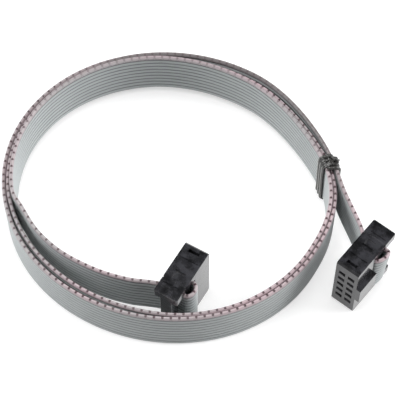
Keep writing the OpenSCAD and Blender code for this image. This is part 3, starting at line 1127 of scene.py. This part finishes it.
# %% [markdown]
# Wire ends
#
# Each end of the ribbon is cut flush with the cover of its socket, and the cut shows the ten wires:
# bare copper in grey vinyl. One wire end is a short cylinder whose face is inset and pushed out to
# a low dome. Ten of them, on the places of the wires, are joined to the ribbon, because a wire is
# no piece apart from its ribbon.

# %% Copper
copper, tree, shader = finish("bare_copper", 0.3, 1.5)
wear = handled_plastic(tree, 9000.0, 2500.0)
bright = tint(tree, wear["Patches"], (0.45, 0.2, 0.1), (0.85, 0.5, 0.32))
feed(tree, shader, Metallic=1.0, Base_Color=bright)
bump(tree, shader, wear["Grain"], 0.4, 0.00003)
print("finish:", copper.name)

# %% Wire ends
END_RADIUS, END_INSET, END_DOME = 0.19, 0.07, 0.03
END_LONG, END_SUNK = 0.1, 0.03


def wire_end(place, way):
    """One cut wire, with its face towards way."""
    turn = way.to_track_quat("Z", "Y").to_euler()
    bpy.ops.object.select_all(action="DESELECT")
    bpy.ops.mesh.primitive_cylinder_add(
        vertices=14, radius=END_RADIUS * MM, depth=END_LONG * MM, location=place, rotation=turn
    )
    end = bpy.context.object
    bpy.ops.object.transform_apply(location=True, rotation=True, scale=True)
    dress(end, copper)
    pick(end, "FACE", lambda face: face.normal.dot(way) > 0.9)
    bpy.ops.mesh.inset(thickness=END_INSET * MM)
    bpy.ops.transform.translate(value=way * END_DOME * MM)
    bpy.ops.object.mode_set(mode="OBJECT")
    return end


for name, place, before in (("ribbon_inner", *route[:2]), ("ribbon_outer", *route[:-3:-1])):
    way = (place - before).normalized()
    heads = [place + Vector((0, 0, (i + 0.5) * PITCH * MM)) - way * END_SUNK * MM for i in range(WIRES)]
    made = [wire_end(head, way) for head in heads]
    only(ribbon[name])
    for end in made:
        end.select_set(True)
    bpy.ops.object.join()
    print(name, "with", len(made), "wire ends:", len(ribbon[name].data.polygons), "faces")

# %% [markdown]
# Black mouldings
#
# The sockets are black, and black plastic is mostly what it reflects: its upright sides mirror the
# white paper at a low angle and look grey, while the tops stay dark. So the colour is nearly black
# and the gloss does the work. A clear coat, as strong as the polish of each face, makes the mirror
# of the long sides, and faint patches and a few pale specks of dust break up the rest.

# %% Black mouldings
black, tree, shader = finish("black_moulding", 0.2, 1.53)
wear = handled_plastic(tree, 3500.0, 420.0)
cloud = ramp(tree, wear["Patches"], 0.38, 4.0)
dark = tint(tree, cloud, (0.003, 0.003, 0.004), (0.024, 0.024, 0.029))
dark = tint(tree, times(tree, wear["Specks"], 0.15), dark, (0.12, 0.12, 0.12))
shine = tree.nodes.new("ShaderNodeAttribute")
shine.attribute_name = "polish"
coat = times(tree, shine.outputs["Fac"], 0.56)
rough = scaled(tree, wear["Patches"], 0.2, 0.1)
feed(tree, shader, Base_Color=dark, Roughness=rough, Coat_Weight=coat, Coat_Roughness=0.05)
bump(tree, shader, wear["Grain"], 0.1, 0.00001)
for piece in sockets["a"] + sockets["b"]:
    dress(piece, black)
print("finish:", black.name)

# %% [markdown]
# The tie's skin
#
# The tie is softer and shinier than the sockets, and a pale line of painted highlight runs where
# its wire stands up under the skin on the sides of the wraps. The place across the strip comes from
# its UV map, and the height above the paper keeps the painted highlight off the twisted ends.

# %% Tie skin
RIDGE_HIGHLIGHT_TO = 0.0142
skin_black, tree, shader = finish("tie_skin", 0.18, 1.5)
wear = handled_plastic(tree, 1500.0, 700.0)
dark = tint(tree, wear["Patches"], (0.006, 0.006, 0.006), (0.03, 0.029, 0.026))
share_across = chart(tree)[1]
# painted highlight: the wire's ridge on the wraps is painted pale, as a sheen along the strip
ridge = fading(tree, away(tree, share_across, crown / len(section)), 7.0)
space = tree.nodes.new("ShaderNodeSeparateXYZ")
put(tree, space.inputs[0], tree.nodes.new("ShaderNodeTexCoord").outputs["Object"])
below = ramp(tree, space.outputs["Z"], RIDGE_HIGHLIGHT_TO, -900.0)
paled = times(tree, ridge, scaled(tree, below, 0.75, 0.1))
dark = tint(tree, paled, dark, (0.3, 0.3, 0.27))
rough = scaled(tree, wear["Patches"], 0.2, 0.2)
feed(tree, shader, Base_Color=dark, Roughness=rough, Coat_Weight=0.5, Coat_Roughness=0.3)
bump(tree, shader, wear["Patches"], 0.15, 0.00005)
dress(tie, skin_black)
print("finish:", skin_black.name)

# %% [markdown]
# The contacts
#
# Deep in each slot sits a forked contact of thin plated metal. The solids of the construction
# model have the right shape for the little that shows, so they stay, and only their finish is new:
# a pale gold that is a bit duller where the plating is thin.

# %% Contacts
plating, tree, shader = finish("contact_plating", 0.25, 1.5)
wear = handled_plastic(tree, 6000.0, 900.0)
gold = tint(tree, wear["Patches"], (0.72, 0.55, 0.28), (0.85, 0.7, 0.42))
rough = scaled(tree, wear["Patches"], 0.25, 0.15)
feed(tree, shader, Metallic=1.0, Base_Color=gold, Roughness=rough)
contacts = {"a": [], "b": []}
for end in "ab":
    for i in range(WIRES):
        contact = frame["nodes"][f"contact_{end}{i + 1:02d}"]
        dress(contact, plating)
        contacts[end].append(contact)
print("finishes:", [m.name for m in bpy.data.materials if m.users])

# %% [markdown]
# Ride on the body
#
# The part has no joint, so every piece rides on the same body. The ribbon is flexible in real
# life, but its three stretches ride on that body too, and the ribbon of the construction model is
# hidden.

# %% Ribbon on the body
for piece in ribbon.values():
    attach(piece, "root")
    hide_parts("ribbon")


print("cords:", [round(lengths[end] - lengths[start], 3) for start, end in stretches.values()])
